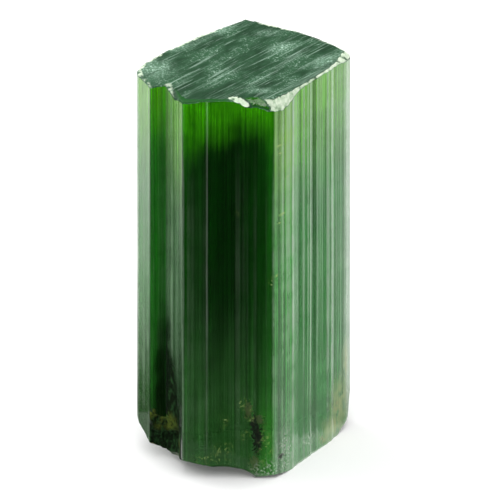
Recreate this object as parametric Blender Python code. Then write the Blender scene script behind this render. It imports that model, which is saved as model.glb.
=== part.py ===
"""A loose green tourmaline crystal: one striated prism, broken across at both ends.

Frame: metres, +Z up along the crystal's long axis. The origin is the centre of the
rectangle round the crystal, on the surface that its broken base rests on. -Y is the
front, where the widest smooth face is, and +X is to its right.

The prism is walked anticlockwise, seen from above. Each of its faces is grown in narrow
upright bands, the striae, that lean a few degrees one way or the other. Flat cleaves and
round scoops then take off the ends, the chipped rims and the scar low on the front left.
"""

import math
import random

import bmesh
import bpy
from mathutils import Matrix, Vector

MM = 0.001

HEIGHT = 38.7 * MM
TAPER = 0.03  # how much wider the prism is at its base, as a share

# The prism's corners at the broken top, (x, y) in millimetres. Each face runs from its
# own corner to the next one in the list.
CORNERS = {
    "front": (-5.64, -9.37),
    "front_right": (2.83, -9.34),
    "right": (4.60, -7.04),
    "back_right": (9.90, 2.21),
    "back_right_bend": (8.55, 3.80),
    "back_right_inner": (5.60, 6.07),
    "back_left": (0.03, 9.45),
    "back_left_inner": (-4.38, 5.20),
    "back_left_bend": (-7.52, 1.41),
    "left_bend": (-9.24, -0.87),
    "left": (-9.90, -2.54),
    "left_recess": (-8.62, -6.34),
    "left_step": (-7.16, -5.76),
}

# Striae laid down by hand on the faces where they are broad enough to tell apart:
# (width in millimetres, lean in degrees). A positive lean turns the band anticlockwise.
STRIAE = {
    "front": [
        (0.25, -14), (0.75, 2), (0.55, -4), (0.70, 3), (0.10, -16), (0.12, 18),
        (1.30, 0), (1.40, 1), (0.12, -14), (0.40, 7), (0.50, -2), (0.90, 1),
        (0.12, 10), (1.20, -2), (0.36, 9),
    ],
    "front_right": [(0.20, 12), (0.90, -10), (0.30, 14), (0.20, -16), (0.90, 6)],
    "right": [
        (0.36, 12), (1.80, -2), (0.25, -12), (0.75, 9), (0.65, -14), (1.50, -2),
        (0.50, 11), (0.40, -5), (0.70, 9), (0.25, -12), (1.20, -3), (0.90, 9),
        (0.30, -6), (0.50, 12),
    ],
    "left": [(0.80, -9), (0.60, 6), (1.60, 4), (0.50, -8), (0.45, 3)],
    "left_recess": [(0.30, 8), (0.70, -5), (0.60, 4)],
    "left_step": [(0.50, 10), (0.90, -6), (0.25, -12), (0.50, 12), (0.80, -4), (0.40, 6)],
}
GROWN_BAND = 0.9  # the usual width of a stria on the other faces, in millimetres
GROWN_LEAN = 9.0  # their steepest lean, in degrees
GROWTH_SEED = 7

# Flat cleaves: where the plane passes (x, y, z in millimetres), how steeply it falls
# away, and the bearing it falls towards, anticlockwise from +X. All angles in degrees.
TOP_CLEAVES = {
    "front_left_sag": ((-1.95, -9.41, 38.7), 7.0, -125),
    "front_corner_chip": ((3.15, -8.74, 38.7), 80.0, -40),
    "right_edge_low": ((6.13, -4.22, 38.7), 50.0, -30),
    "right_edge_high": ((7.70, -1.72, 38.7), 28.0, -22),
    "right_corner_chip": ((9.31, 1.38, 38.7), 60.0, 27),
    "right_corner_sag": ((8.58, 2.82, 38.7), 14.0, 45),
    "left_corner_nick": ((-9.78, -2.70, 38.7), 48.0, 190),
    "back_corner_nick": ((0.05, 9.28, 38.7), 50.0, 92),
}
BASE_CLEAVES = {
    "front_left_chip": ((-5.45, -9.66, 1.84), 25.0, -123),
    "front_corner_chip": ((2.4, -9.64, 0.35), 20.0, -72),
    "left_chip": ((-7.75, -6.04, 1.35), 32.6, 172),
    "right_corner_chip": ((9.55, -0.15, 0.5), 29.0, 20),
    "right_corner_end": ((10.2, 0.5, 1.1), 81.0, 12),
    "back_corner_chip": ((0.0, 7.9, 0.0), 33.0, 84),
    "back_left_chip": ((-4.9, 4.6, 0.0), 24.0, 138),
    "back_right_edge": ((6.9, 4.9, 0.0), 41.0, 55),
}

# Round scoops, such as shell-shaped chips: centre and three radii, in millimetres.
SCOOPS = {
    "front_shell": ((1.05, -10.05, 39.45), (1.60, 1.60, 1.60)),
    "front_shell_small": ((-0.15, -9.72, 38.95), (0.62, 0.62, 0.62)),
    "step_nick": ((-6.75, -7.70, 39.40), (1.15, 2.10, 1.15)),
    "step_shell": ((-6.70, -6.95, 38.95), (0.90, 0.90, 0.90)),
    "scar": ((-7.55, -8.0, 1.5), (1.60, 1.95, 11.5)),
    "base_front_notch": ((-2.2, -10.3, -0.4), (3.6, 4.0, 1.7)),
    "base_left_notch": ((-9.7, -5.6, -0.2), (1.5, 2.0, 2.3)),
}
SCOOP_DETAIL = 3  # how finely a scoop's ball is divided

CUTTER_SIZE = 60 * MM


def empty_scene():
    for obj in list(bpy.data.objects):
        bpy.data.objects.remove(obj)


def collection_named(name):
    made = bpy.data.collections.new(name)
    bpy.context.scene.collection.children.link(made)
    return made


def grown_striae(length, rng):
    """Bands of uneven width over a face this long, leaning either way by turns."""
    widths = [rng.uniform(0.4, 1.6) for _ in range(round(length / GROWN_BAND))]
    scale = length / sum(widths)
    return [
        (width * scale, rng.uniform(0.35, 1.0) * GROWN_LEAN * (-1) ** index)
        for index, width in enumerate(widths)
    ]


def striated_face(start, end, bands):
    """Points from start up to, but not at, end: each band leans from the flat face, and
    the drift that the leans add up to is taken out evenly along it."""
    along = end - start
    outward = Vector((along.y, -along.x)).normalized()
    total = sum(width for width, _ in bands)
    depths, drift = [0.0], 0.0
    for width, lean in bands:
        drift -= width * math.tan(math.radians(lean))
        depths.append(drift)
    points, walked = [], 0.0
    for index, (width, _) in enumerate(bands):
        share = walked / total
        points.append(start + along * share + outward * (depths[index] - drift * share))
        walked += width
    return points


def cross_section():
    """The striated outline at the top of the prism, in millimetres."""
    rng = random.Random(GROWTH_SEED)
    names = list(CORNERS)
    outline = []
    for name, following in zip(names, names[1:] + names[:1]):
        start, end = Vector(CORNERS[name]), Vector(CORNERS[following])
        bands = STRIAE.get(name) or grown_striae((end - start).length, rng)
        outline += striated_face(start, end, bands)
    return outline


def tourmaline():
    material = bpy.data.materials.new("green_tourmaline")
    material.use_nodes = True
    shader = material.node_tree.nodes["Principled BSDF"]
    shader.inputs["Base Color"].default_value = (0.02, 0.12, 0.03, 1)
    shader.inputs["Roughness"].default_value = 0.12
    shader.inputs["Metallic"].default_value = 0.0
    shader.inputs["IOR"].default_value = 1.63
    shader.inputs["Transmission Weight"].default_value = 0.8
    return material


def prism(collection):
    """The whole prism, from the resting plane to the height of the break."""
    mesh = bpy.data.meshes.new("crystal")
    bm = bmesh.new()
    top = [bm.verts.new((p.x * MM, p.y * MM, HEIGHT)) for p in cross_section()]
    lid = bm.faces.new(top)
    grown = bmesh.ops.extrude_face_region(bm, geom=[lid])
    base = [v for v in grown["geom"] if isinstance(v, bmesh.types.BMVert)]
    widen = Matrix.Diagonal((1 + TAPER, 1 + TAPER, 1, 1))
    bmesh.ops.translate(bm, verts=base, vec=(0, 0, -HEIGHT))
    bmesh.ops.transform(bm, verts=base, matrix=widen)
    bmesh.ops.recalc_face_normals(bm, faces=bm.faces)
    bm.to_mesh(mesh)
    bm.free()
    crystal = bpy.data.objects.new("crystal", mesh)
    crystal.data.materials.append(tourmaline())
    collection.objects.link(crystal)
    return crystal


def as_cutter(name, bm, collection):
    mesh = bpy.data.meshes.new(name)
    bm.to_mesh(mesh)
    bm.free()
    cutter = bpy.data.objects.new(name, mesh)
    cutter.hide_render = True
    cutter.display_type = "WIRE"
    collection.objects.link(cutter)
    return cutter


def cleave(name, through, tilt, bearing, side, collection):
    """A block whose flat underside is the cleave. side is 1 for the top, where the plane
    falls away outwards, and -1 for the base, where it rises."""
    bm = bmesh.new()
    bmesh.ops.create_cube(bm, size=CUTTER_SIZE)
    bmesh.ops.translate(bm, verts=bm.verts, vec=(0, 0, side * CUTTER_SIZE / 2))
    cutter = as_cutter(name, bm, collection)
    lean = Matrix.Rotation(math.radians(side * tilt), 4, "Y")
    turn = Matrix.Rotation(math.radians(bearing), 4, "Z")
    cutter.matrix_world = Matrix.Translation(Vector(through) * MM) @ turn @ lean
    return cutter


def scoop(name, centre, radii, collection):
    bm = bmesh.new()
    bmesh.ops.create_icosphere(bm, subdivisions=SCOOP_DETAIL, radius=1)
    bmesh.ops.scale(bm, verts=bm.verts, vec=Vector(radii) * MM)
    cutter = as_cutter(name, bm, collection)
    cutter.location = Vector(centre) * MM
    return cutter


def cut(crystal, cutters):
    for cutter in cutters:
        boolean = crystal.modifiers.new(cutter.name, "BOOLEAN")
        boolean.operation = "DIFFERENCE"
        boolean.solver = "EXACT"
        boolean.object = cutter


def main():
    empty_scene()
    specimen = collection_named("tourmaline_crystal")
    tools = collection_named("cutters")
    crystal = prism(specimen)
    cutters = [
        cleave(f"top_{name}", *plane, 1, tools) for name, plane in TOP_CLEAVES.items()
    ]
    cutters += [
        cleave(f"base_{name}", *plane, -1, tools) for name, plane in BASE_CLEAVES.items()
    ]
    cutters += [scoop(name, *ball, tools) for name, ball in SCOOPS.items()]
    cut(crystal, cutters)


main()
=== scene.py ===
"""A loose green tourmaline crystal, standing on its broken base on a pale table.

Metres, +Z up. The crystal's widest smooth face looks towards -Y. The crystal's own sizes
and places are in millimetres, and angles are in degrees, anticlockwise from above.
"""

import math

import bpy
import numpy as np
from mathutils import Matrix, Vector


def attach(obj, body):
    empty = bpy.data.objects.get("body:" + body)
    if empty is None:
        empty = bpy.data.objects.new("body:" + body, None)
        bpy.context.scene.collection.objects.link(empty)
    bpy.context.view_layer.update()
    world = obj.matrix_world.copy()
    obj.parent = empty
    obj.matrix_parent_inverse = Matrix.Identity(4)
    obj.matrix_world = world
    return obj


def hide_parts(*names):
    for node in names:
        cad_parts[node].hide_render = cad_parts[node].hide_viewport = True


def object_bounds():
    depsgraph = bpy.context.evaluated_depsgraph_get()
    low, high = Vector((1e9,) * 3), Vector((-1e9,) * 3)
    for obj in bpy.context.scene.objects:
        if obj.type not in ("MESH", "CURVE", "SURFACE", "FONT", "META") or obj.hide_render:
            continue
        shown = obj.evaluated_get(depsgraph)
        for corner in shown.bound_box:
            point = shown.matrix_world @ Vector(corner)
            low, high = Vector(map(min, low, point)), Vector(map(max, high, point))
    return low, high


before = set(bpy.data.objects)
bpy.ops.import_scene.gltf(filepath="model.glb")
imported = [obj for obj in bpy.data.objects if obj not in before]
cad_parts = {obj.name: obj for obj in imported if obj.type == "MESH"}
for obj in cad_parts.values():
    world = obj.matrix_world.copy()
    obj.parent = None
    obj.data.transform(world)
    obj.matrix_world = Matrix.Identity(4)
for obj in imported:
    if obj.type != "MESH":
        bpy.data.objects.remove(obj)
cad_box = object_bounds()


# ---- The crystal -----------------------------------------------------------------------
# One prism of clear green tourmaline. It grew in narrow upright bands, the striae, and was
# broken off across both ends, so the sides are glassy and the ends are matt and chipped.

MM = 0.001
HEIGHT = (cad_box[1][2] - cad_box[0][2]) / MM
TAPER = 0.03  # how much wider the prism is at its base, as a share

# Its corners at the top, (x, y), from the front left round to the left. Each face is named
# like the corner it starts from.
CORNERS = {
    "front": (-5.64, -9.37),
    "front_right": (2.83, -9.34),
    "right": (4.60, -7.04),
    "back_right": (9.90, 2.21),
    "back_right_bend": (8.55, 3.80),
    "back_right_inner": (5.60, 6.07),
    "back_left": (0.03, 9.45),
    "back_left_inner": (-4.38, 5.20),
    "back_left_bend": (-7.52, 1.41),
    "left_bend": (-9.24, -0.87),
    "left": (-9.90, -2.54),
    "left_recess": (-8.62, -6.34),
    "left_step": (-7.16, -5.76),
}
FACE_NAMES = list(CORNERS)

# The broad striae: width, lean, and how much pale silk and painted sheen shows in the band,
# where below 0 it darkens the band as painted shade. Where the last one is missing, each fine
# stria draws its own.
STRIAE = {
    "front": [
        (0.20, -6, 0.12), (0.28, 0, 0.00), (0.28, 4, 0.07), (0.19, 0, 0.02), (0.19, 4, 0.06),
        (0.85, 0, 0.01), (0.09, 3, 0.05), (0.09, 0, 0.00), (0.19, -6, 0.13), (1.50, 1, 0.00),
        (1.04, -1, 0.00), (0.38, 4, 0.06), (0.10, 0, 0.02), (0.19, 0, 0.00), (0.10, 3, 0.03),
        (0.38, 0, 0.01), (0.48, 0, 0.00), (0.28, 3, 0.02), (0.85, -1, 0.00), (0.66, 1, 0.01),
        (0.14, 8, 0.50),
    ],
    "front_right": [
        (0.46, 3, 0.20), (0.31, -14, -0.55), (0.15, 0, 0.05), (0.31, 8, 0.45),
        (0.15, -12, -0.30), (0.15, 0, 0.15), (0.15, 10, 0.60), (0.46, 5, 0.40),
        (0.31, 2, 0.20), (0.31, 14, 0.80),
    ],
    "right": [
        (0.38, 6, 0.20), (0.19, 0, 0.05), (0.19, 5, 0.15), (0.38, 0, 0.00), (0.38, -3, -0.10),
        (0.19, 1, 0.00), (0.19, 6, 0.10), (0.38, -3, -0.08), (0.19, -4, -0.10), (0.19, 10, 0.40),
        (0.19, -8, -0.15), (0.38, 10, 0.40), (0.19, 0, 0.00), (0.57, -9, -0.30), (0.19, 1, 0.00),
        (0.19, 6, 0.10), (0.38, 0, 0.00), (0.19, -4, -0.10), (0.38, 0, 0.00), (0.19, -1, 0.00),
        (0.19, -8, -0.15), (0.19, 3, 0.05), (0.38, 9, 0.35), (0.19, 2, 0.05), (0.19, -3, -0.05),
        (0.57, 10, 0.40), (0.19, 6, 0.15), (0.19, -2, 0.00), (0.38, 3, 0.05), (0.38, 0, 0.00),
        (0.38, 3, 0.05), (0.38, 0, 0.00), (0.19, 4, 0.10), (0.38, 11, 0.35), (0.76, 16, 0.60),
        (0.38, 14, 0.45), (0.38, 17, 0.70),
    ],
    "back_right_bend": [(0.60, -4), (0.30, 9), (0.70, -5), (0.35, 8), (0.60, -3)],
    "back_right_inner": [
        (0.85, -8), (0.06, 62), (0.60, -8), (0.05, 60), (1.10, -9), (0.08, 62),
        (0.50, -7), (0.04, 60), (0.80, -9), (0.06, 62), (0.70, -8), (0.05, 62),
    ],
    "back_left": [
        (0.80, 3), (0.30, -6), (0.90, 4), (0.35, -7), (0.60, 3), (0.30, -5),
        (1.10, 4), (0.45, -8), (0.90, 3),
    ],
    "back_left_inner": [
        (0.90, 6), (0.06, -55), (0.60, 5), (0.05, -50), (1.10, 7), (0.07, -55), (0.80, 6),
    ],
    "back_left_bend": [(0.70, 6), (0.06, -50), (0.80, 7), (0.07, -50)],
    "left": [
        (1.00, -8, 1.00), (0.30, 0, 0.40), (0.60, 2, 0.15), (0.60, 0, 0.35), (0.60, 2, 0.12),
        (0.50, 0, 0.30), (0.30, 2, 0.05),
    ],
    "left_recess": [(0.30, 2, 0.02), (0.60, 0, 0.00), (0.60, 0, 0.02), (0.10, 0, 0.02)],
    "left_step": [
        (0.25, 3, 0.05), (0.49, 0, 0.22), (0.49, 0, 0.15), (0.49, -5, 0.60), (0.25, 0, 0.25),
        (0.49, 3, -0.20), (0.73, 0, 0.10), (0.60, 1, -0.10), (0.25, 0, 0.12),
    ],
}
FINE_PITCH = 0.13  # the usual width of the finest striae
FINE_LEAN = 3.4  # how far they usually lean
CALM_LEAN = 1.8  # and on the calmer faces, which are these
CALM_FACES = ("front", "back_right_bend", "back_right_inner", "back_left", "back_left_inner")
PLAIN_PITCH = 0.9  # the usual width of a broad stria on the faces not listed above
PLAIN_LEAN = 7.0  # and how far it usually leans
BROAD_SPREAD = (0.4, 1.6)  # how much broad striae differ in width
FINE_SPREAD = (0.5, 1.5)  # and fine ones
SILK_AND_SHEEN_SPREAD = (0.7, 1.3)  # how much the silk and painted sheen differ within a broad stria
SILK_DRAW = (0.4, 0.4)  # the shape and scale of the gamma draw where no silk is given
STRAY_SILK = 0.06  # how much of such a draw shows in the other pale striae

rng = np.random.default_rng(11)


def plain_bands(start, end):
    """Broad striae of uneven width and lean that fill a face."""
    length = math.dist(start, end)
    count = max(1, round(length / PLAIN_PITCH))
    widths = rng.uniform(*BROAD_SPREAD, count)
    return np.stack([widths * length / widths.sum(), rng.normal(0, PLAIN_LEAN, count)], 1)


def fine_striae(bands, usual_lean):
    """The width, lean, and silk and painted sheen of every fine stria. A broad one is split into
    fine ones of uneven width, each of which leans and shines a little unlike it."""
    widths, leans, given_silk_and_sheen = np.array([(*band, np.nan)[:3] for band in bands]).T
    counts = np.maximum(1, np.round(widths / FINE_PITCH)).astype(int)
    total = counts.sum()
    uneven = rng.uniform(*FINE_SPREAD, total)
    in_band = np.add.reduceat(uneven, np.cumsum(counts) - counts)
    width = uneven * np.repeat(widths / in_band, counts)
    lean = np.repeat(leans, counts) + rng.normal(0, usual_lean, total)
    given = np.repeat(given_silk_and_sheen, counts)
    drawn = np.clip(rng.gamma(*SILK_DRAW, total), 0, 1)
    varied = given * rng.uniform(*SILK_AND_SHEEN_SPREAD, total) + STRAY_SILK * drawn * (given > 0)
    return width, lean, np.where(np.isnan(given), drawn, varied)


def striated_face(start, end, bands, usual_lean):
    """Points from start up to end, and how much silk and painted sheen each shows. A point's
    depth is the sum, over the striae before it, of width times the tangent of the lean, less an
    even share of the whole sum."""
    along = np.subtract(end, start)
    length = np.hypot(*along)
    outward = np.array([along[1], -along[0]]) / length
    width, lean, silk_and_sheen = fine_striae(bands, usual_lean)
    share = np.append(0, np.cumsum(width)) / width.sum()
    depth = np.append(0, np.cumsum(-width * np.tan(np.radians(lean))))
    depth = (depth - depth[-1] * share) * length / width.sum()
    points = np.array(start) + np.outer(share, along) + np.outer(depth, outward)
    return points[:-1], silk_and_sheen


def outline_of_prism():
    """The points of the outline at the top, the silk and painted sheen at each, and the number
    of its face.
    """
    points, silk_and_sheen, numbers = [], [], []
    for number, name in enumerate(FACE_NAMES):
        start, end = CORNERS[name], CORNERS[FACE_NAMES[(number + 1) % len(FACE_NAMES)]]
        bands = STRIAE[name] if name in STRIAE else plain_bands(start, end)
        usual_lean = CALM_LEAN if name in CALM_FACES else FINE_LEAN
        face_points, face_silk_and_sheen = striated_face(start, end, bands, usual_lean)
        points.append(face_points)
        silk_and_sheen.append(face_silk_and_sheen)
        numbers.append(np.full(len(face_points), number))
    return np.concatenate(points), np.concatenate(silk_and_sheen), np.concatenate(numbers)


outline, outline_silk_and_sheen, outline_face = outline_of_prism()


def on_faces(*names):
    """Which points of the outline are on these faces."""
    return np.isin(outline_face, [FACE_NAMES.index(name) for name in names])


front = on_faces("front")
hollow = on_faces("left_recess", "left_step")
facing_right = on_faces("front_right", "right")

# What the top's rim has lost, from left to right along the front and along the back: x, how far
# down the rim is, how far in the loss reaches, and how pale the new surface is, where below 0 it
# is glassy and painted dark as shade.
FRONT_RIM = [
    (-9.9, 0.30, 0.45, 0.6), (-9.5, 0.14, 0.40, 0.5), (-8.7, 0.12, 0.30, 0.4),
    (-8.0, 0.08, 0.25, 0.2), (-7.3, 0.10, 0.30, 0.3), (-7.05, 0.20, 0.60, 0.4),
    (-6.7, 0.42, 0.80, 0.45), (-6.35, 0.60, 0.90, 0.35), (-6.1, 0.42, 0.70, -0.1),
    (-5.7, 0.28, 0.50, -0.3), (-4.6, 0.22, 0.45, -0.3), (-3.8, 0.12, 0.40, -0.3),
    (-2.0, 0.06, 0.35, -0.3), (-1.1, 0.08, 0.35, -0.2), (-0.8, 0.12, 0.70, 0.7),
    (-0.2, 0.40, 1.00, 0.8), (0.3, 0.62, 0.95, 0.8), (0.6, 0.66, 0.80, 0.4),
    (0.9, 0.70, 0.90, -0.6), (1.7, 0.82, 0.95, -0.5), (2.3, 0.92, 0.75, -0.5),
    (2.55, 1.00, 0.55, 0.8), (2.9, 1.08, 0.50, 1.0), (3.5, 1.20, 0.52, 1.0),
    (4.1, 1.02, 0.46, 1.0), (4.6, 0.66, 0.34, 1.0), (5.1, 0.32, 0.24, 0.9),
    (5.7, 0.16, 0.18, 0.8), (7.5, 0.13, 0.16, 0.8), (8.9, 0.22, 0.26, 0.8),
    (9.5, 0.45, 0.45, 0.7), (9.9, 0.85, 0.60, 0.6),
]
BACK_RIM = [
    (-9.9, 0.30, 0.60, 0.6), (-8.0, 0.10, 0.50, 0.5), (-4.0, 0.08, 0.60, 0.6),
    (-0.6, 0.12, 0.60, 0.4), (0.0, 0.26, 0.50, 0.4), (0.8, 0.12, 0.50, 0.3),
    (3.0, 0.10, 0.60, 0.5), (6.5, 0.16, 0.50, 0.4), (8.5, 0.50, 0.80, 0.4),
    (9.9, 0.85, 0.60, 0.6),
]
RAGGED_DOWN = 0.22  # how much the depth of the rim's loss varies, as a share
RAGGED_IN = 0.3  # and how much its reach does
BACK_CALM = 0.25  # the part of that which the back has
WORN_DOWN = 0.03  # what even the best stretch of the rim has lost
CHIP_SLANT = 1.2  # how far the chips lie to the left, as a share of their depth
BREAK_SWELL = 0.04  # how far the level break swells and sinks
CHIP_SWELL = 0.03  # and how far the chips do
BACK_RISE = 0.3  # how much higher the break is at the back left

# What was knocked off the base. A cleave is a point on a plane, how steeply the plane
# rises, and the bearing it rises towards. A scoop is the centre and radii of an ellipsoid.
BASE_CLEAVES = [
    ((-5.45, -9.66, 1.84), 25.0, -123),
    ((2.4, -9.64, 0.35), 20.0, -72),
    ((-7.75, -6.04, 1.35), 32.6, 172),
    ((9.55, -0.15, 0.5), 29.0, 20),
    ((10.2, 0.5, 1.1), 81.0, 12),
    ((0.0, 7.9, 0.0), 33.0, 84),
    ((-4.9, 4.6, 0.0), 24.0, 138),
    ((6.9, 4.9, 0.0), 41.0, 55),
]
BASE_SCOOPS = [
    ((-2.2, -10.3, -0.4), (3.6, 4.0, 1.7)),
    ((-9.7, -5.6, -0.2), (1.5, 2.0, 2.3)),
]
BASE_WANDER = 0.14  # how far the edges of those marks wander


def ease(value, low, high):
    """0 at low and 1 at high, along three times the share squared less twice it cubed."""
    part = np.clip((value - low) / (high - low), 0, 1)
    return part * part * (3 - 2 * part)


def waves(x, y, longest, octaves, seed):
    """A sum of sine waves in random directions, each octave half as long and half as
    high as the one before. It stays within about -1 and 1."""
    draw = np.random.default_rng(seed)
    total = np.zeros_like(x)
    for octave in range(octaves):
        for _ in range(3):
            angle, phase = draw.uniform(0, 2 * math.pi, 2)
            step = 2 * math.pi / longest * 2**octave * draw.uniform(0.8, 1.25)
            total += 0.5**octave * np.sin(
                step * (x * math.cos(angle) + y * math.sin(angle)) + phase
            )
    return total / 4


def rim_values(rim, x):
    """How far down, how far in and how pale, read off a rim's list at x."""
    at, *columns = np.array(rim).T
    return [np.interp(x, at, column) for column in columns]


def rim_loss(x, y):
    """How far down, how far in and how pale the loss is at points of the outline. The two
    lists meet at the left and right corners."""
    left, right = CORNERS["left"], CORNERS["back_right"]
    nearer = y < left[1] + (x - left[0]) * (right[1] - left[1]) / (right[0] - left[0])
    both = zip(rim_values(FRONT_RIM, x), rim_values(BACK_RIM, x))
    down, reach, pale = (np.where(nearer, fore, aft) for fore, aft in both)
    ragged = waves(x + 0.3 * y, y, 1.6, 4, 17) * np.where(nearer, 1, BACK_CALM)
    return down * (1 + RAGGED_DOWN * ragged) + WORN_DOWN, reach * (1 + RAGGED_IN * ragged), pale


def top_height(x, y, depth, down, reach, pale):
    """The level break and its rim, and how pale each point is. A loss falls away evenly
    over its reach where it is pale, which is a flat chip, and as a quarter round, which is
    one less the root of one less the share squared, where it isn't, which is wear."""
    share = np.clip(1 - depth / reach, 0, 1)
    quarter_round = 1 - np.sqrt(1 - share**2)
    chip = share + (quarter_round - share) * (1 - ease(pale, 0.5, 0.9))
    relief = BREAK_SWELL * waves(x, y, 7.0, 5, 3) - CHIP_SWELL
    relief = relief + CHIP_SWELL * waves(x, y, 0.5, 2, 5) * chip
    relief = relief + BACK_RISE * ease(y - 0.35 * x, -5, 5)
    return HEIGHT + relief - down * chip, pale * ease(share, 0.0, 0.12)


def cleave_height(x, y, through, tilt, bearing):
    """A plane's height: the distance along its bearing times the tangent of its tilt."""
    turn = math.radians(bearing)
    away = (x - through[0]) * math.cos(turn) + (y - through[1]) * math.sin(turn)
    return through[2] + math.tan(math.radians(tilt)) * away


def scoop_height(x, y, centre, radii):
    """The upper half of an ellipsoid, and nothing beside it."""
    inside = 1 - ((x - centre[0]) / radii[0]) ** 2 - ((y - centre[1]) / radii[1]) ** 2
    height = centre[2] + radii[2] * np.sqrt(np.clip(inside, 0, None))
    return np.where(inside > 0, height, -np.inf)


def base_height(x, y):
    """The broken base: the highest of the table and of all that was knocked off it."""
    wide_x = x + BASE_WANDER * waves(x, y, 2.1, 3, 7)
    wide_y = y + BASE_WANDER * waves(x, y, 2.1, 3, 8)
    height = np.zeros_like(x)
    for cleave in BASE_CLEAVES:
        height = np.maximum(height, cleave_height(wide_x, wide_y, *cleave))
    for scoop in BASE_SCOOPS:
        height = np.maximum(height, scoop_height(wide_x, wide_y, *scoop))
    return height


SCAR_CENTRE = (-7.55, -8.0, 1.5)
SCAR_RADII = (1.60, 1.95, 11.5)
SCAR_ROUGH = 0.12
POCKET_HEIGHT = 5.0  # how high the deep dark part at its foot reaches
POCKET_FADE = 2.2
POCKET_DEPTH = 0.45


def scar(x, y, z):
    """The long hollow low on the front left. It moves the faces that it runs into inwards,
    to the skin of a tall ellipsoid, and roughens them; its foot is a deeper pocket. It
    returns how far they moved."""
    rough = SCAR_ROUGH * waves(x * 1.3 + y, z * 0.55, 1.5, 5, 21)
    part = [((v - c) / r) ** 2 for v, c, r in zip((x, y, z), SCAR_CENTRE, SCAR_RADII)]
    wall_x = SCAR_CENTRE[0] + SCAR_RADII[0] * np.sqrt(np.clip(1 - part[1] - part[2], 0, None))
    wall_y = SCAR_CENTRE[1] + SCAR_RADII[1] * np.sqrt(np.clip(1 - part[0] - part[2], 0, None))
    step = on_faces("left_step") & (part[1] + part[2] < 1)
    recess = on_faces("left_recess") & (part[0] + part[2] < 1)
    uneven = z + 1.7 * waves(x, y + z, 1.8, 4, 23)
    pocket = ease(uneven, POCKET_HEIGHT, POCKET_HEIGHT - POCKET_FADE)
    pocket = pocket * hollow * ease(x, -5.9, -6.3)
    deep_x = np.where(step, np.clip(wall_x - x, 0, 1), 0)
    deep_y = np.where(recess, np.clip(wall_y - y, 0, 1), 0)
    deep_x = deep_x + np.where(deep_x > 0.04, rough, 0)
    deep_y = deep_y + np.where(deep_y > 0.04, rough, 0) + pocket * (POCKET_DEPTH + 2 * rough)
    return deep_x, deep_y


def waver(z):
    """How far the striae sway as they run up: the product of two slow sine waves for each
    stria by itself, and another for groups of them."""
    index = np.arange(len(outline))
    alone = 0.002 * np.sin(z * 0.45 + index * 1.7) * np.sin(z * 0.13 + index * 0.37)
    grouped = 0.02 * np.sin(z * 0.21 + index * 0.031) * np.sin(z * 0.09 - index * 0.05)
    return alone + grouped


SIDE_ROWS = 84
HALF_WIDTH = 9.3
# How far in from the rim each ring of the two ends is, as a share of the way.
INSET = np.array([0.03, 0.06, 0.1, 0.15, 0.2, 0.26, 0.32, 0.38, 0.45, 0.53, 0.62, 0.75, 0.9,
                  1.2, 1.6, 2.1, 2.8, 3.6, 4.8, 6.0, 7.4]) / HALF_WIDTH
FIRST_SIDE_ROW = len(INSET)


def crystal_surface():
    """Rings of points from the middle of the base to the middle of the top, and how pale
    and how hurt each point is. The sides are a grid: round the outline, and up from the
    base's rim to the top's. Each end is a grid of the rim drawn in towards the axis."""
    x, y = outline.T
    scale = 1 + TAPER
    low = base_height(x * scale, y * scale)
    high = top_height(x, y, 0 * x, *rim_loss(x, y))[0]
    steps = np.linspace(0, 1, SIDE_ROWS)
    steps = 0.5 - 0.5 * np.cos(math.pi * steps) * (1 - 0.35 * np.sin(math.pi * steps) ** 2)
    z = low + (high - low) * steps[:, None]
    grow = 1 + TAPER * (1 - z / HEIGHT)
    normal = np.roll(outline, -1, 0) - np.roll(outline, 1, 0)
    normal = np.stack([normal[:, 1], -normal[:, 0]], 1)
    normal /= np.hypot(*normal.T)[:, None]
    sway = waver(z)
    side_x, side_y = x * grow + sway * normal[:, 0], y * grow + sway * normal[:, 1]
    deep_x, deep_y = scar(side_x, side_y, z)
    sides = np.stack([side_x + deep_x, side_y + deep_y, z], -1)

    inwards = 1 - INSET[:, None]
    depth = INSET[:, None] * HALF_WIDTH
    top_x, top_y = sides[-1, :, 0] * inwards, sides[-1, :, 1] * inwards
    loss = rim_loss(x + CHIP_SLANT * depth, y + 0 * depth)
    level, top_pale = top_height(top_x, top_y, depth, *loss)
    top = np.stack([top_x, top_y, level], -1)
    base_x, base_y = sides[0, :, 0] * inwards, sides[0, :, 1] * inwards
    base = np.stack([base_x, base_y, base_height(base_x, base_y)], -1)[::-1]
    at_base, at_sides, at_top = (np.zeros(part.shape[:2]) for part in (base, sides, top))
    pale = np.concatenate([at_base, at_sides, top_pale])
    hurt = np.concatenate([at_base, np.maximum(deep_x, deep_y), at_top])
    return np.concatenate([base, sides, top]), pale, hurt


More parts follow.
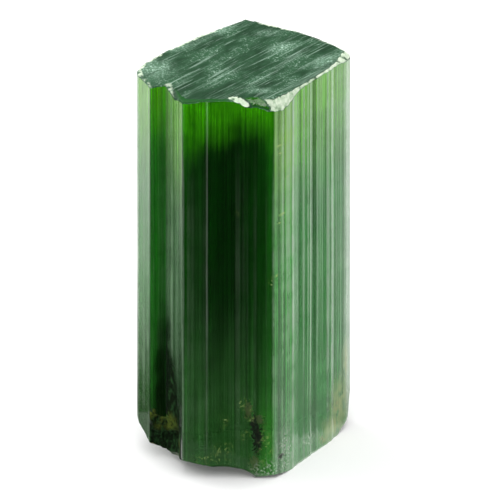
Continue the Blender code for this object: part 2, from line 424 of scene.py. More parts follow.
def skin(name, rings, slots, marks):
    """A closed mesh from rings by points by xyz, its first and last rings closed to a point
    at their middle. slots is the material of every face of the grid, and marks are named
    values, or groups of three, at every point of it."""
    count, around = rings.shape[:2]
    row, column = np.meshgrid(np.arange(count - 1), np.arange(around), indexing="ij")
    after = (column + 1) % around
    quads = np.stack([row * around + column, row * around + after,
                      (row + 1) * around + after, (row + 1) * around + column], -1)
    turn, last = np.arange(around), count * around
    following = (turn + 1) % around
    foot = np.stack([np.full(around, last), following, turn], -1)
    head = np.stack([np.full(around, last + 1), last - around + turn,
                     last - around + following], -1)
    ends = np.stack([rings[0].mean(0), rings[-1].mean(0)])
    points = np.concatenate([rings.reshape(-1, 3), ends])
    loops = np.concatenate([part.ravel() for part in (quads, foot, head)])
    totals = np.repeat([4, 3], [quads.shape[0] * around, 2 * around])
    end_slots = np.repeat([slots[0, 0], slots[-1, 0]], around)
    mesh = bpy.data.meshes.new(name)
    mesh.vertices.add(len(points))
    mesh.vertices.foreach_set("co", points.ravel() * MM)
    mesh.loops.add(len(loops))
    mesh.loops.foreach_set("vertex_index", loops)
    mesh.polygons.add(len(totals))
    mesh.polygons.foreach_set("loop_start", np.cumsum(totals) - totals)
    mesh.polygons.foreach_set("loop_total", totals)
    mesh.polygons.foreach_set("material_index", np.append(slots.ravel(), end_slots))
    for label, grid in marks:
        single = grid.ndim == 2
        kind, field = ("FLOAT", "value") if single else ("FLOAT_VECTOR", "vector")
        layer = mesh.attributes.new(label, kind, "POINT")
        layer.data.foreach_set(field, np.concatenate([grid.ravel(), grid[0, 0].ravel(),
                                                      grid[-1, 0].ravel()]))
    mesh.update(calc_edges=True)
    mesh.validate()
    mesh.shade_flat()
    piece = bpy.data.objects.new(name, mesh)
    bpy.context.scene.collection.objects.link(piece)
    return piece


FACES, BREAK, BASE, SCAR = range(4)
HURT = 0.004  # how far a face has to move inwards to be part of the scar
GLASSY = -0.33  # how dark a chip's painted shade has to be for it to stay glassy

# Each face's colour at its foot, higher up, and under the top, and the two heights between which
# the last one comes in. These paint light and shade as well as the stone's green: the front is
# painted dark with painted light at its foot, the faces turned to the right are painted bright,
# and the left face is painted with shade at its foot. Faces not named here take "back".
TONES_AND_LIGHT = {
    "front": ((0.022, 0.11, 0.018), (0.0, 0.030, 0.0), (0.06, 0.50, 0.0), 31.0, 37.0),
    "front_right": ((0.12, 0.54, 0.14), (0.11, 0.66, 0.11), (0.45, 1.00, 0.16), 20.0, 36.0),
    "right": ((0.12, 0.52, 0.15), (0.09, 0.47, 0.11), (0.36, 0.98, 0.14), 24.0, 37.5),
    "left": ((0.02, 0.14, 0.01), (0.10, 0.42, 0.10), (0.38, 0.90, 0.15), 25.0, 38.0),
    "left_recess": ((0.025, 0.12, 0.02), (0.015, 0.19, 0.01), (0.10, 0.52, 0.0), 30.0, 38.0),
    "left_step": ((0.02, 0.07, 0.02), (0.16, 0.32, 0.16), (0.38, 0.85, 0.18), 22.0, 38.0),
    "back": ((0.04, 0.32, 0.04), (0.06, 0.46, 0.06), (0.32, 0.85, 0.08), 28.0, 37.5),
}
FOOT_HEIGHTS = (6.0, 20.0)
CROWN_POWER = 1.8  # how slowly the crown's colour comes in
FRONT_MIDDLE = -1.6
FRONT_HALF = 4.0
FRONT_GLOW = (0.004, 0.045, 0.003)  # painted light showing through, which the front face gains towards both of its sides
EDGE_GLOW = (0.003, 0.09, 0.0)  # and painted light close to its right corner
FOOT_GLOW = (0.02, 0.12, 0.01)  # and painted light low down there, where the stone is clearest
FRONT_THREAD = (0.004, 0.045, 0.003)  # and what its single green threads add
THREAD_DRAW = (0.35, 0.6)  # the shape and scale of the gamma draw of how strong one is
THREAD_SILK = 0.05  # how much silk goes with it
STREAKS = 2.0  # how far the front's streaks shift the crown's lower edge
SHADES = (0.72, 1.22)  # how the brightness of single striae differs
FRONT_SHADES = 0.6  # the part of that which the calm front face has
CHIP_DARK = 0.8  # how much painted shade darkens a glassy chip
SCAR_DARKENING = 0.8  # and how much darker it is made round the scar
DARKENING_CENTRE = (-7.5, 7.0)  # x and z
DARKENING_RADII = (1.0, 9.5)
DARKENING_BLUR = 12
PALE_FOOT_ROWS = 3


def face_tones_and_light(x, y, z):
    """The colour of every point, by its face and height, with each face's painted light and
    shade, and painted light showing through the front towards its sides, at its foot and near
    its right corner. The crown's lower edge and the colours themselves are uneven."""
    listed_tones_and_light = [TONES_AND_LIGHT.get(name, TONES_AND_LIGHT["back"]) for name in FACE_NAMES]
    foot, deep, crown, start, full = (
        np.array([tone_and_light[part] for tone_and_light in listed_tones_and_light])[outline_face] for part in range(5)
    )
    aside = np.clip((x - FRONT_MIDDLE) / FRONT_HALF, -1, 1) ** 2 * front
    uneven = z + 1.1 * waves(x - y, 1.5 * z, 7.0, 4, 31)
    streaks = STREAKS * waves(x * 3, 0.06 * z, 1.8, 5, 33)
    uneven = uneven + np.where(front, aside - 1 + streaks, 0)
    crown_share = ease(uneven, start, full)[..., None] ** CROWN_POWER
    # Painted light showing through the front: low at its right corner and along its right edge,
    # as well as towards its sides.
    low_corner = (ease(x, 0.9, 2.0) * ease(z, 10.0, 6.0) * front)[..., None]
    edge = (ease(x, 1.5, 2.9) * front)[..., None]
    low = foot + (deep - foot) * ease(z, *FOOT_HEIGHTS)[..., None]
    low = low + np.array(FRONT_GLOW) * aside[..., None] + np.array(FOOT_GLOW) * low_corner
    low = low + np.array(EDGE_GLOW) * edge
    mottled = 1 + 0.16 * waves(x - y, z, 2.6, 4, 35)[..., None]
    cloudy = 1 + 0.45 * (waves(1.8 * x, 0.8 * z, 2.4, 5, 37) * front)[..., None] * crown_share
    return (low + (crown - low) * crown_share * cloudy) * mottled


def over_faces(grid):
    """The mean of a value at the four corners of every face of the grid."""
    pairs = grid[:-1] + grid[1:]
    return (pairs + np.roll(pairs, -1, 1)) / 4


def blurred(grid, times):
    """The grid after averaging every point with its four neighbours this many times."""
    for _ in range(times):
        beside = [np.roll(grid, step, axis) for axis in (0, 1) for step in (-1, 1)]
        grid = (2 * grid + sum(beside)) / 6
    return grid


def scar_darkening_share(x, z, hurt):
    """How much darker each point is made round the scar: it fills a tall ellipse about the scar,
    whose squared shares of the two radii add up to 1 at its edge, and what is close to the scar
    itself."""
    across = (x - DARKENING_CENTRE[0]) / DARKENING_RADII[0]
    up = (z - DARKENING_CENTRE[1]) / DARKENING_RADII[1]
    ellipse = ease(across**2 + up**2 + 0.5 * waves(x, z, 3.0, 4, 43), 1.3, 0.3)
    near = ease(blurred(1.0 * (hurt > HURT), DARKENING_BLUR), 0.03, 0.5)
    return np.maximum(ellipse, near) * hollow


def face_silk_and_sheen(x, z):
    """How much silk and painted sheen each point shows: that of its stria, fading towards the
    front's crown and the feet of the left faces, where on the left face it is painted shade,
    with more along the right face's foot and right edge, which is painted reflection."""
    silk_and_sheen = np.clip(outline_silk_and_sheen, 0, 1) * np.where(front, ease(z, 36.0, 24.0), 1)
    pale_foot = slice(FIRST_SIDE_ROW, FIRST_SIDE_ROW + PALE_FOOT_ROWS)
    silk_and_sheen[pale_foot] = np.where(on_faces("right"), 1.0, silk_and_sheen[FIRST_SIDE_ROW])
    silk_and_sheen *= np.where(hollow, ease(z, 5.0, 17.0), 1)
    # Painted shade: the left face's sheen fades towards its foot.
    silk_and_sheen *= np.where(on_faces("left"), ease(z, -2.0, 12.0), 1)
    # Painted sheen on the faces turned to the right, and painted reflection brighter at their
    # foot.
    silk_and_sheen += facing_right * (0.09 + 0.10 * ease(z, 16.0, 4.0))
    # Painted reflection along the right edge, near its top and near its foot.
    ends_pale = 0.05 + 0.25 * ease(z, 26.0, 38.0) + 0.25 * ease(z, 8.0, 2.0)
    return silk_and_sheen + facing_right * ease(x, 7.8, 9.2) * ends_pale


rings, pale, hurt = crystal_surface()
across, back, height = np.moveaxis(rings, -1, 0)
slots = np.full((len(rings) - 1, len(outline)), FACES)
slots[:FIRST_SIDE_ROW] = BASE
slots[FIRST_SIDE_ROW + SIDE_ROWS - 1 :] = BREAK
slots[(slots == FACES) & (over_faces(hurt) > HURT)] = SCAR
slots[(slots == BREAK) & (over_faces(pale) < GLASSY)] = FACES

shade = rng.uniform(*SHADES, len(outline)) * (1 + 0.12 * waves(*outline.T, 1.5, 2, 41))
shade = np.where(front, 1 + FRONT_SHADES * (shade - 1), shade)
# Striae given silk below 0 are darkened here: painted shade.
shade = shade * (1 + np.minimum(outline_silk_and_sheen, 0))
threads = np.clip(rng.gamma(*THREAD_DRAW, len(outline)), 0, 2.5) * front
scar_darkening = scar_darkening_share(across, height, hurt)
# Painted shade on glassy chips, and darker round the scar.
darker = (1 - CHIP_DARK * np.clip(-pale, 0, 1)) * (1 - SCAR_DARKENING * scar_darkening)
tone_and_light = np.clip(face_tones_and_light(across, back, height) * shade[:, None], 0, 1) * darker[..., None]
tone_and_light += np.outer(threads, FRONT_THREAD) * (0.35 + ease(height, 24.0, 8.0))[..., None]
# Silk and painted sheen, less where it is darker round the scar.
silk_and_sheen = face_silk_and_sheen(across, height) * (1 - scar_darkening) + THREAD_SILK * threads * ease(height, 20.0, 6.0)
marks = [("pale", pale), ("tone_and_light", tone_and_light), ("silk_and_sheen", silk_and_sheen)]
crystal = skin("tourmaline_crystal", rings, slots, marks)


CLEAR = (0.06, 0.84, 0.0)  # what the stone lets through
DENSITY = 800.0  # and how strongly it absorbs the rest, per metre
IOR = 1.63


def add(material, kind, values=(), **settings):
    """A new node in the material, with its settings, and its inputs set or linked."""
    made = material.node_tree.nodes.new(kind)
    for name, value in settings.items():
        setattr(made, name, value)
    for name, value in dict(values).items():
        if isinstance(value, bpy.types.NodeSocket):
            material.node_tree.links.new(value, made.inputs[name])
        else:
            made.inputs[name].default_value = value
    return made


def place(material, scale=(1, 1, 1), turn=0.0, shift=(0, 0, 0)):
    """The point on the surface in millimetres, less shift, turned about Z and scaled."""
    here = add(material, "ShaderNodeTexCoord").outputs["Object"]
    centred = {"Vector": here, "Scale": (1 / MM,) * 3, "Location": [-v for v in shift]}
    point = add(material, "ShaderNodeMapping", centred).outputs[0]
    if turn:
        turned = {"Vector": point, "Rotation": (0, 0, -math.radians(turn))}
        point = add(material, "ShaderNodeMapping", turned).outputs[0]
    return add(material, "ShaderNodeMapping", {"Vector": point, "Scale": scale}).outputs[0]


def grain_group():
    """Uneven grain: noise that rises smoothly from 0 where it is at Low to 1 at High."""
    group = bpy.data.node_groups.new("stone_grain", "ShaderNodeTree")
    group.interface.new_socket("Place", in_out="INPUT", socket_type="NodeSocketVector")
    numbers = {"Detail": 4.0, "Roughness": 0.55, "Low": 0.0, "High": 1.0}
    for label, value in numbers.items():
        socket = group.interface.new_socket(label, in_out="INPUT", socket_type="NodeSocketFloat")
        socket.default_value = value
    group.interface.new_socket("Grain", in_out="OUTPUT", socket_type="NodeSocketFloat")
    given = group.nodes.new("NodeGroupInput").outputs
    put = group.nodes.new("NodeGroupOutput").inputs
    cloud = group.nodes.new("ShaderNodeTexNoise")
    cloud.inputs["Scale"].default_value = 1.0
    rise = group.nodes.new("ShaderNodeMapRange")
    rise.interpolation_type = "SMOOTHSTEP"
    group.links.new(given["Place"], cloud.inputs["Vector"])
    group.links.new(given["Detail"], cloud.inputs["Detail"])
    group.links.new(given["Roughness"], cloud.inputs["Roughness"])
    group.links.new(cloud.outputs[0], rise.inputs["Value"])
    group.links.new(given["Low"], rise.inputs["From Min"])
    group.links.new(given["High"], rise.inputs["From Max"])
    group.links.new(rise.outputs[0], put["Grain"])
    return group


STONE_GRAIN = grain_group()


def grain(material, where, low, high, detail=4.0, rough=0.55):
    """The shared grain, at a place given by scale, turn and shift."""
    values = {"Place": place(material, *where), "Low": low, "High": high,
              "Detail": detail, "Roughness": rough}
    return add(material, "ShaderNodeGroup", values, node_tree=STONE_GRAIN).outputs["Grain"]


def span(material, value, low, high, start=0.0, end=1.0):
    """A value between low and high, moved smoothly to between start and end."""
    values = {"Value": value, "From Min": low, "From Max": high, "To Min": start, "To Max": end}
    made = add(material, "ShaderNodeMapRange", values, interpolation_type="SMOOTHSTEP")
    return made.outputs[0]


def folded(material, operation, values):
    """One value out of many, two at a time."""
    result = values[0]
    for value in values[1:]:
        made = add(material, "ShaderNodeMath", {0: result, 1: value}, operation=operation)
        result = made.outputs[0]
    return result


def times(material, *values):
    return folded(material, "MULTIPLY", values)


def most(material, *values):
    return folded(material, "MAXIMUM", values)


def blend(material, share, first, second):
    """From the first colour to the second, by a share."""
    first, second = ((*v, 1) if isinstance(v, tuple) else v for v in (first, second))
    made = add(material, "ShaderNodeMix", {"Factor": share, "A": first, "B": second},
               data_type="RGBA")
    return made.outputs["Result"]


def patches(material, places):
    """1 in the middle of each ellipsoid, given by centre, radii and turn, and 0 from its
    skin outwards."""
    found = []
    for centre, radii, *turn in places:
        vector = place(material, tuple(1 / r for r in radii), *(turn or [0]), centre)
        far = add(material, "ShaderNodeVectorMath", {0: vector}, operation="LENGTH")
        found.append(span(material, far.outputs["Value"], 1.0, 0.0))
    return most(material, *found)


def ragged(material, spots, uneven):
    """Solid patches with an uneven edge: spots plus an uneven mask about its middle."""
    values = {0: spots, 1: span(material, uneven, 0, 1, -0.45, 0.45)}
    total = add(material, "ShaderNodeMath", values, operation="ADD").outputs[0]
    return times(material, span(material, total, 0.25, 0.65), span(material, spots, 0, 0.1))


def attribute(material, name, output="Fac"):
    return add(material, "ShaderNodeAttribute", attribute_name=name).outputs[output]


def bump(material, height, distance):
    values = {"Height": height, "Distance": distance * MM}
    return add(material, "ShaderNodeBump", values).outputs[0]


def stone(name, roughness, transmission, shine=0.5):
    """The clear stone, with a finish of its own, and the shader that wears it."""
    material = bpy.data.materials.new(name)
    material.use_nodes = True
    shader = material.node_tree.nodes["Principled BSDF"]
    shader.inputs["Roughness"].default_value = roughness
    shader.inputs["IOR"].default_value = IOR
    shader.inputs["Transmission Weight"].default_value = transmission
    shader.inputs["Specular IOR Level"].default_value = shine
    absorption = add(material, "ShaderNodeVolumeAbsorption",
                     {"Color": (*CLEAR, 1), "Density": DENSITY})
    output = material.node_tree.nodes["Material Output"]
    material.node_tree.links.new(absorption.outputs[0], output.inputs["Volume"])
    return material


def dress(material, **sockets):
    """Links values to the shader's inputs, named with _ for a space."""
    shader = material.node_tree.nodes["Principled BSDF"]
    for name, value in sockets.items():
        material.node_tree.links.new(value, shader.inputs[name.replace("_", " ")])


# Marks in the grown faces, with painted glints and a painted glow among them, each given by the
# centres and radii of ellipsoids, and the colour that it blends in.
FLECKS = (
    ((-1.9, -9.6, 3.1), (1.5, 1, 1.0)),
    ((-3.2, -9.6, 2.0), (2.6, 1, 0.9)),
    ((-0.2, -9.6, 7.9), (0.7, 1, 1.1)),
    ((0.6, -9.6, 6.6), (0.7, 1, 1.4)),
    ((0.2, -9.6, 4.4), (0.7, 1, 0.9)),
    ((-1.9, -9.6, 6.0), (0.7, 1, 1.0)),
    ((2.1, -9.6, 3.2), (1.2, 1, 3.2)),
    ((-0.6, -9.4, 27.4), (0.35, 1, 0.35)),
    ((2.5, -9.5, 20.5), (0.5, 1, 1.2)),
)
FLECK_YELLOW = (0.42, 0.66, 0.14)
DUST = (
    ((-1.2, -9.6, 2.0), (5.5, 2, 11)),
    ((4.5, -7.5, 1.0), (3.0, 4, 5.0)),
)
DUST_GREEN = (0.22, 0.44, 0.14)
CLEFT = (
    ((1.25, -9.6, 4.3), (0.85, 2, 2.6)),
    ((0.9, -9.6, 5.8), (0.6, 2, 1.5)),
    ((3.5, -8.8, 2.1), (0.5, 2, 0.5)),
)
CLEFT_DARK = (0.004, 0.014, 0.002)
OLIVE = (
    ((1.0, -9.6, 1.7), (0.8, 2, 1.5)),
    ((0.4, -9.6, 7.2), (0.6, 2, 1.5)),
    ((1.4, -9.6, 6.2), (0.8, 2, 0.9)),
)
OLIVE_BROWN = (0.10, 0.17, 0.02)
# Painted highlights: small bright glints on the front right corner and the right face.
GLINTS = (
    ((3.2, -8.9, 34.0), (0.5, 1, 0.16)),
    ((3.3, -8.8, 33.2), (0.3, 1, 0.12)),
    ((3.5, -8.6, 27.0), (0.55, 1, 0.22)),
    ((3.3, -8.8, 26.2), (0.3, 1, 0.12)),
    ((4.0, -7.9, 30.5), (0.3, 1, 0.10)),
    ((3.0, -9.1, 21.0), (0.35, 1, 0.20)),
    ((8.2, -0.9, 20.0), (0.35, 1, 0.16)),
)
GLINT_YELLOW = (0.75, 1.0, 0.35)
CRAZING = (
    ((3.9, -8.5, 2.2), (1.7, 2.5, 4.6)),
    ((6.0, -5.0, 1.8), (1.9, 2.5, 1.3)),
    ((2.6, -9.6, 1.0), (2.6, 1, 1.4)),
)
CRAZING_WHITE = (0.90, 1.0, 0.85)
# Painted light: a pale yellow glow at the right face's foot.
GLOW = (
    ((9.0, 0.0, 3.4), (1.9, 3.5, 4.2)),
    ((8.2, -1.0, 1.4), (2.8, 4.0, 2.4)),
    ((9.6, 1.0, 7.0), (0.7, 1.5, 4.0)),
)
GLOW_YELLOW = (0.84, 1.0, 0.50)
SPOTS = (
    ((8.3, -1.0, 1.6), (0.6, 1, 0.7)),
    ((7.3, -2.7, 0.8), (0.8, 1, 0.7)),
    ((8.7, -0.4, 3.2), (0.5, 1, 1.0)),
)
SPOT_CREAM = (0.90, 0.72, 0.40)
# The pale green of silk and of painted sheen on the striae.
SILK_AND_SHEEN_GREEN = (0.72, 1.0, 0.70)


def grown_faces():
    """Glassy, with hair-fine upright lines, painted glints high on the right corner, and near
    the foot with flecks, a dark cleft, crazing, a few brown spots and a painted glow on the
    right."""
    material = stone("tourmaline_faces", 0.06, 0.6)
    hair = grain(material, ((8, 8, 0.01),), 0.3, 0.7, 3)
    cloud = grain(material, ((0.4, 0.4, 0.4),), 0.3, 0.7)
    fine = ((4.5, 4.5, 4.5),)
    uneven = grain(material, fine, 0.25, 0.75, 5, 0.7)
    glinting = grain(material, fine, 0.35, 0.55, 4, 0.7)
    crazing = grain(material, fine, 0.50, 0.60, 5, 0.7)
    flecking = grain(material, ((4.2, 4.2, 3.4), 0, (3, 1, 7)), 0.52, 0.64, 4, 0.7)
    dusting = grain(material, ((7, 7, 6), 0, (1, 5, 2)), 0.60, 0.72, 3, 0.7)
    glowing = grain(material, ((1.2, 1.2, 0.8), 0, (4, 4, 4)), 0.30, 0.55, 4, 0.6)
    spotting = grain(material, ((2.4, 2.4, 1.7), 0, (3, 1, 7)), 0.40, 0.55, 4, 0.6)

    olive = ragged(material, patches(material, OLIVE), uneven)
    cleft = ragged(material, patches(material, CLEFT), uneven)
    dust = times(material, patches(material, DUST), dusting)
    glow = times(material, patches(material, GLOW), glowing)
    flecks = times(material, patches(material, FLECKS), flecking)
    glints = times(material, patches(material, GLINTS), glinting)
    crazed = times(material, patches(material, CRAZING), crazing)
    spots = times(material, patches(material, SPOTS), spotting)

    shaded = {0: attribute(material, "tone_and_light", "Vector"),
              "Scale": span(material, hair, 0, 1, 0.72, 1.25)}
    colour = add(material, "ShaderNodeVectorMath", shaded, operation="SCALE").outputs[0]
    # Silk and painted sheen, blended in as pale green.
    silk_and_sheen_cloud = span(material, cloud, 0, 1, 0.45, 1.0)
    colour = blend(material, times(material, attribute(material, "silk_and_sheen"), silk_and_sheen_cloud),
                   colour, SILK_AND_SHEEN_GREEN)
    colour = blend(material, times(material, olive, 0.75), colour, OLIVE_BROWN)
    colour = blend(material, cleft, colour, CLEFT_DARK)
    colour = blend(material, dust, colour, DUST_GREEN)
    # Painted light: the glow at the right foot.
    colour = blend(material, glow, colour, GLOW_YELLOW)
    colour = blend(material, flecks, colour, FLECK_YELLOW)
    # Painted highlights: the glints.
    colour = blend(material, glints, colour, GLINT_YELLOW)
    colour = blend(material, crazed, colour, CRAZING_WHITE)
    colour = blend(material, spots, colour, SPOT_CREAM)
    dull = span(material, times(material, hair, cloud), 0, 1, 0.05, 0.11)
    marked = span(material, most(material, flecks, crazed, cleft, olive), 0, 1, 0, 0.4)
    dress(material, Base_Color=colour, Roughness=most(material, dull, marked),
          Normal=bump(material, hair, 0.003))
    return material


SCRATCHED = 51.0  # which way the scratches on the break run, in degrees from +X
# The paler parts of the break: centre, radii, and how far the ellipsoid is turned.
WORN = (
    ((-8.4, -2.2, 38.6), (3.0, 3.6, 9)),
    ((-5.5, 3.5, 38.6), (4.2, 1.8, 9), 45),
    ((-2.5, 6.5, 38.6), (4.2, 1.5, 9), 45),
    ((2.2, 6.0, 38.6), (1.8, 1.2, 9)),
    ((3.6, 2.6, 38.6), (2.4, 1.5, 9), 30),
    ((1.5, -7.0, 38.6), (1.7, 1.0, 9)),
    ((7.5, -0.5, 38.6), (1.6, 2.8, 9), -30),
)
BREAK_DARK, BREAK_GREEN = (0.010, 0.050, 0.018), (0.036, 0.12, 0.054)
WORN_GREEN = (0.10, 0.22, 0.13)
CRUSHED_WHITE = (0.58, 0.82, 0.66)
# Painted shade: the dark green of the rim's glassy parts.
GLASSY_CHIP = (0.006, 0.10, 0.010)
CHIP_GREEN, CHIP_WHITE = (0.38, 0.56, 0.34), (0.88, 1.0, 0.80)


def broken_top():
    """Matt and dark green, scratched one way, paler towards the back and the left corner, with
    white where chips have come off the rim and painted shade where the rim is glassy."""
    material = stone("tourmaline_break", 0.5, 0.15, 0.12)
    fine = grain(material, ((0.15, 13, 1), SCRATCHED), 0.52, 0.64, 3, 0.7)
    strokes = grain(material, ((0.20, 2.6, 1), SCRATCHED), 0.42, 0.60, 5, 0.6)
    cloud = grain(material, ((0.35, 0.7, 0.3), SCRATCHED), 0.3, 0.7, 5, 0.6)
    facet = grain(material, ((1.6, 1.6, 1.6), 0, (5, 2, 1)), 0.30, 0.65, 4, 0.6)
    sugar = ((5, 5, 5),)
    sparse_sugar = grain(material, sugar, 0.56, 0.64, 3, 0.8)
    dense_sugar = grain(material, sugar, 0.50, 0.62, 3, 0.8)
    soft_sugar = grain(material, sugar, 0.2, 0.8, 5, 0.8)

    worn = times(material, patches(material, WORN), span(material, cloud, 0.1, 0.7, 0.4, 1.0))
    scratches = times(material, fine, strokes, span(material, strokes, 0.2, 1.0, 0.0, 0.55))
    specks = times(material, span(material, cloud, 0.45, 0.9, 0.0, 0.7), sparse_sugar)
    crushed = times(material, worn, dense_sugar)
    pale = attribute(material, "pale")
    chipped = times(material, pale, span(material, facet, 0, 0.7, 0.55, 1.3))

    colour = blend(material, cloud, BREAK_DARK, BREAK_GREEN)
    colour = blend(material, worn, colour, WORN_GREEN)
    white = most(material, scratches, specks, crushed)
    colour = blend(material, white, colour, CRUSHED_WHITE)
    # Painted shade on the glassy parts of the rim.
    colour = blend(material, span(material, pale, 0.0, -0.3), colour, GLASSY_CHIP)
    chip = blend(material, facet, CHIP_GREEN, CHIP_WHITE)
    colour = blend(material, span(material, chipped, 0.35, 0.7), colour, chip)
    height = blend(material, 0.5, fine, soft_sugar)
    dress(material, Base_Color=colour, Normal=bump(material, height, 0.02))
    return material


BASE_DARK, BASE_GREEN = (0.012, 0.05, 0.012), (0.05, 0.13, 0.03)
BASE_RUST = (0.35, 0.34, 0.12)


def broken_base():
    """Matt, dark green and rusty in places."""
    material = stone("tourmaline_base", 0.5, 0.5)
    lumps = grain(material, ((1.3, 1.3, 1.3),), 0.4, 0.65, 5, 0.65)
    rusty = grain(material, ((0.6, 0.6, 0.6), 0, (3, 8, 1)), 0.56, 0.70, 5, 0.6)
    colour = blend(material, lumps, BASE_DARK, BASE_GREEN)
    colour = blend(material, rusty, colour, BASE_RUST)
    dress(material, Base_Color=colour, Normal=bump(material, lumps, 0.05))
    return material


VEINED = (
    ((-7.3, -6.6, 4.2), (1.5, 2, 1.6)),
    ((-6.5, -7.8, 3.0), (0.9, 2, 1.8)),
    ((-8.5, -6.5, 5.2), (0.9, 2, 0.8)),
)
SCAR_BLACK, SCAR_GREEN = (0.003, 0.010, 0.002), (0.03, 0.10, 0.03)
VEIN_OLIVE = (0.15, 0.21, 0.03)


def scarred_side():
    """Rough and nearly black, with green where it is shallow and olive veins at the foot."""
    material = stone("tourmaline_scar", 0.7, 0.0, 0.05)
    lumps = grain(material, ((2.4, 2.4, 1.2),), 0.45, 0.7, 5, 0.7)
    veining = grain(material, ((1, 1, 0.9), 0, (2, 1, 5)), 0.40, 0.56, 5, 0.65)
    veins = times(material, patches(material, VEINED), veining)
    colour = blend(material, lumps, SCAR_BLACK, SCAR_GREEN)
    colour = blend(material, veins, colour, VEIN_OLIVE)
    dress(material, Base_Color=colour, Normal=bump(material, lumps, 0.08))
    return material


for material in (grown_faces(), broken_top(), broken_base(), scarred_side()):
    crystal.data.materials.append(material)
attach(crystal, "root")
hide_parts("crystal")


# ---- The table -------------------------------------------------------------------------
# A plain pale sheet, far larger than the crystal. It glows faintly, which keeps it white
# between the lamps' own light and the crystal's shadow.

FLOOR_HALF = 1.5
bpy.ops.mesh.primitive_plane_add(size=2 * FLOOR_HALF, location=(0, 0, 0))
table = bpy.context.object
table.name = "table"
paper = bpy.data.materials.new("pale_paper")
paper.use_nodes = True
paper_shader = paper.node_tree.nodes["Principled BSDF"]
paper_shader.inputs["Base Color"].default_value = (0.9, 0.9, 0.9, 1)
paper_shader.inputs["Roughness"].default_value = 0.9
paper_shader.inputs["Emission Color"].default_value = (1, 1, 1, 1)
paper_shader.inputs["Emission Strength"].default_value = 0.1
table.data.materials.append(paper)


# ---- The black cards -------------------------------------------------------------------
# They lie on the table round the crystal, as in a studio, and only reflections see them.
# Each has a height of its own, because where two overlap at one height only one counts.

CARD_ROWS = (10.5, 32, 63, 420)  # how far out from the axis, in millimetres
CARD_COLUMNS = (-1.4, -0.7, 0.7, 1.4)  # how far aside, as shares of the half width
CARD_SIDE = 4 * MM  # the half width at the axis
felt = bpy.data.materials.new("black_felt")
felt.use_nodes = True
felt_shader = felt.node_tree.nodes["Principled BSDF"]
felt_shader.inputs["Base Color"].default_value = (0.01, 0.01, 0.01, 1)
felt_shader.inputs["Roughness"].default_value = 1
felt_shader.inputs["Specular IOR Level"].default_value = 0
dark = felt.node_tree.nodes.new("ShaderNodeAttribute")
dark.attribute_name = "dark"
felt.node_tree.links.new(dark.outputs["Fac"], felt_shader.inputs["Alpha"])


def black_card(name, height, start, bearing, half_angle, darkness):
    """A sheet with soft sides that runs out from start, as wide as a face at first, and
    spreads by half_angle either way. Its darkness has a value at each of the rows."""
    far = np.array(CARD_ROWS)[:, None] * MM
    half_width = CARD_SIDE + far * math.tan(math.radians(half_angle))
    aside = np.array(CARD_COLUMNS) * half_width
    turn = math.radians(bearing)
    flat = np.stack([start[0] * MM + far * math.cos(turn) - aside * math.sin(turn),
                     start[1] * MM + far * math.sin(turn) + aside * math.cos(turn),
                     height * MM + 0 * aside], -1)
    mesh = bpy.data.meshes.new(name)
    faces = [(4 * r + c, 4 * r + 4 + c, 4 * r + 5 + c, 4 * r + 1 + c)
             for r in range(3) for c in range(3)]
    mesh.from_pydata(flat.reshape(-1, 3).tolist(), [], faces)
    soft = mesh.attributes.new("dark", "FLOAT", "POINT")
    soft.data.foreach_set("value", np.outer(darkness, [0, 1, 1, 0]).ravel())
    mesh.materials.append(felt)
    card = bpy.data.objects.new(name, mesh)
    bpy.context.scene.collection.objects.link(card)
    card.visible_camera = False
    card.visible_diffuse = False
    card.visible_shadow = False
    card.visible_transmission = False


black_card("black_card_front", 0.1, (0, 0), -90, 15, (0.82, 0.97, 0.995, 1))
black_card("black_card_right", 0.2, (0, 0), -6, 13, (0.7, 0.9, 0.95, 0.95))
black_card("black_card_back_right", 0.3, (0, 0), 26, 13, (0.25, 0.25, 0.25, 0.25))
black_card("black_card_left", 0.4, (0, 0), 176, 12, (0.8, 0.8, 0.8, 0.8))
black_card("black_card_step", 0.5, (-7.9, -6.0), -50, 18, (0.9, 0.95, 0.95, 0.95))
black_card("black_card_behind", 0.6, (-7.5, -6.5), 132, 18, (0.9, 0.75, 0.35, 0.1))


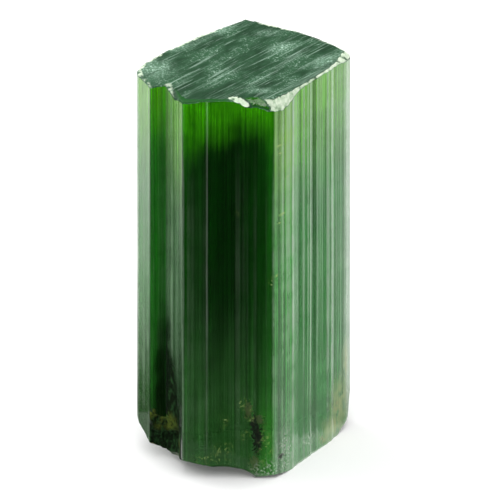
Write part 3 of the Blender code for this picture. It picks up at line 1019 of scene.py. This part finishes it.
# ---- The light -------------------------------------------------------------------------
# Four soft boxes: one behind at either side, which the side faces mirror, one in front and
# a wide one overhead. A faint white world fills the rest.


def softbox(name, location, aim, size, power):
    """A rectangular lamp that points at aim."""
    lamp = bpy.data.lights.new(name, "AREA")
    lamp.shape = "RECTANGLE"
    lamp.size, lamp.size_y = size
    lamp.energy = power
    box = bpy.data.objects.new(name, lamp)
    box.location = location
    box.rotation_euler = (Vector(aim) - Vector(location)).to_track_quat("-Z", "Y").to_euler()
    bpy.context.scene.collection.objects.link(box)


softbox("key_right", (0.55, 0.30, 0.50), (0, 0, 0.02), (0.6, 0.6), 2.3)
softbox("fill_left", (-0.58, 0.25, 0.48), (0, 0, 0.02), (0.6, 0.6), 4.3)
softbox("front", (0, -0.6, 0.7), (0, 0, 0), (0.7, 0.5), 3.4)
softbox("top", (0, 0, 0.9), (0, 0, 0), (0.9, 0.9), 5.5)

world = bpy.data.worlds.new("studio")
bpy.context.scene.world = world
world.use_nodes = True
world.node_tree.nodes["Background"].inputs["Color"].default_value = (1, 1, 1, 1)
world.node_tree.nodes["Background"].inputs["Strength"].default_value = 0.12
bpy.context.scene.view_settings.view_transform = "Standard"


# ---- The camera ------------------------------------------------------------------------
# It looks down at the crystal from the front. The frame is shifted, and not the aim, to
# put the crystal in its place.

ELEVATION = 25.0
DISTANCE = 0.5
SENSOR = 36.0
FRAME = 500  # pixels across
PIXEL = 0.0943 * MM  # the size of one pixel at the crystal
SHIFT = (6.0, -1.4)  # in pixels
AIM = Vector((0, 0, 19.43 * MM))
camera_data = bpy.data.cameras.new("camera")
camera_data.lens = SENSOR * DISTANCE / (FRAME * PIXEL)
camera_data.sensor_width = SENSOR
camera_data.clip_start = 0.01
camera_data.shift_x = SHIFT[0] / FRAME
camera_data.shift_y = SHIFT[1] / FRAME
camera = bpy.data.objects.new("camera", camera_data)
tilt = math.radians(ELEVATION)
camera.location = AIM + DISTANCE * Vector((0, -math.cos(tilt), math.sin(tilt)))
camera.rotation_euler = (math.pi / 2 - tilt, 0, 0)
bpy.context.scene.collection.objects.link(camera)
bpy.context.scene.camera = camera
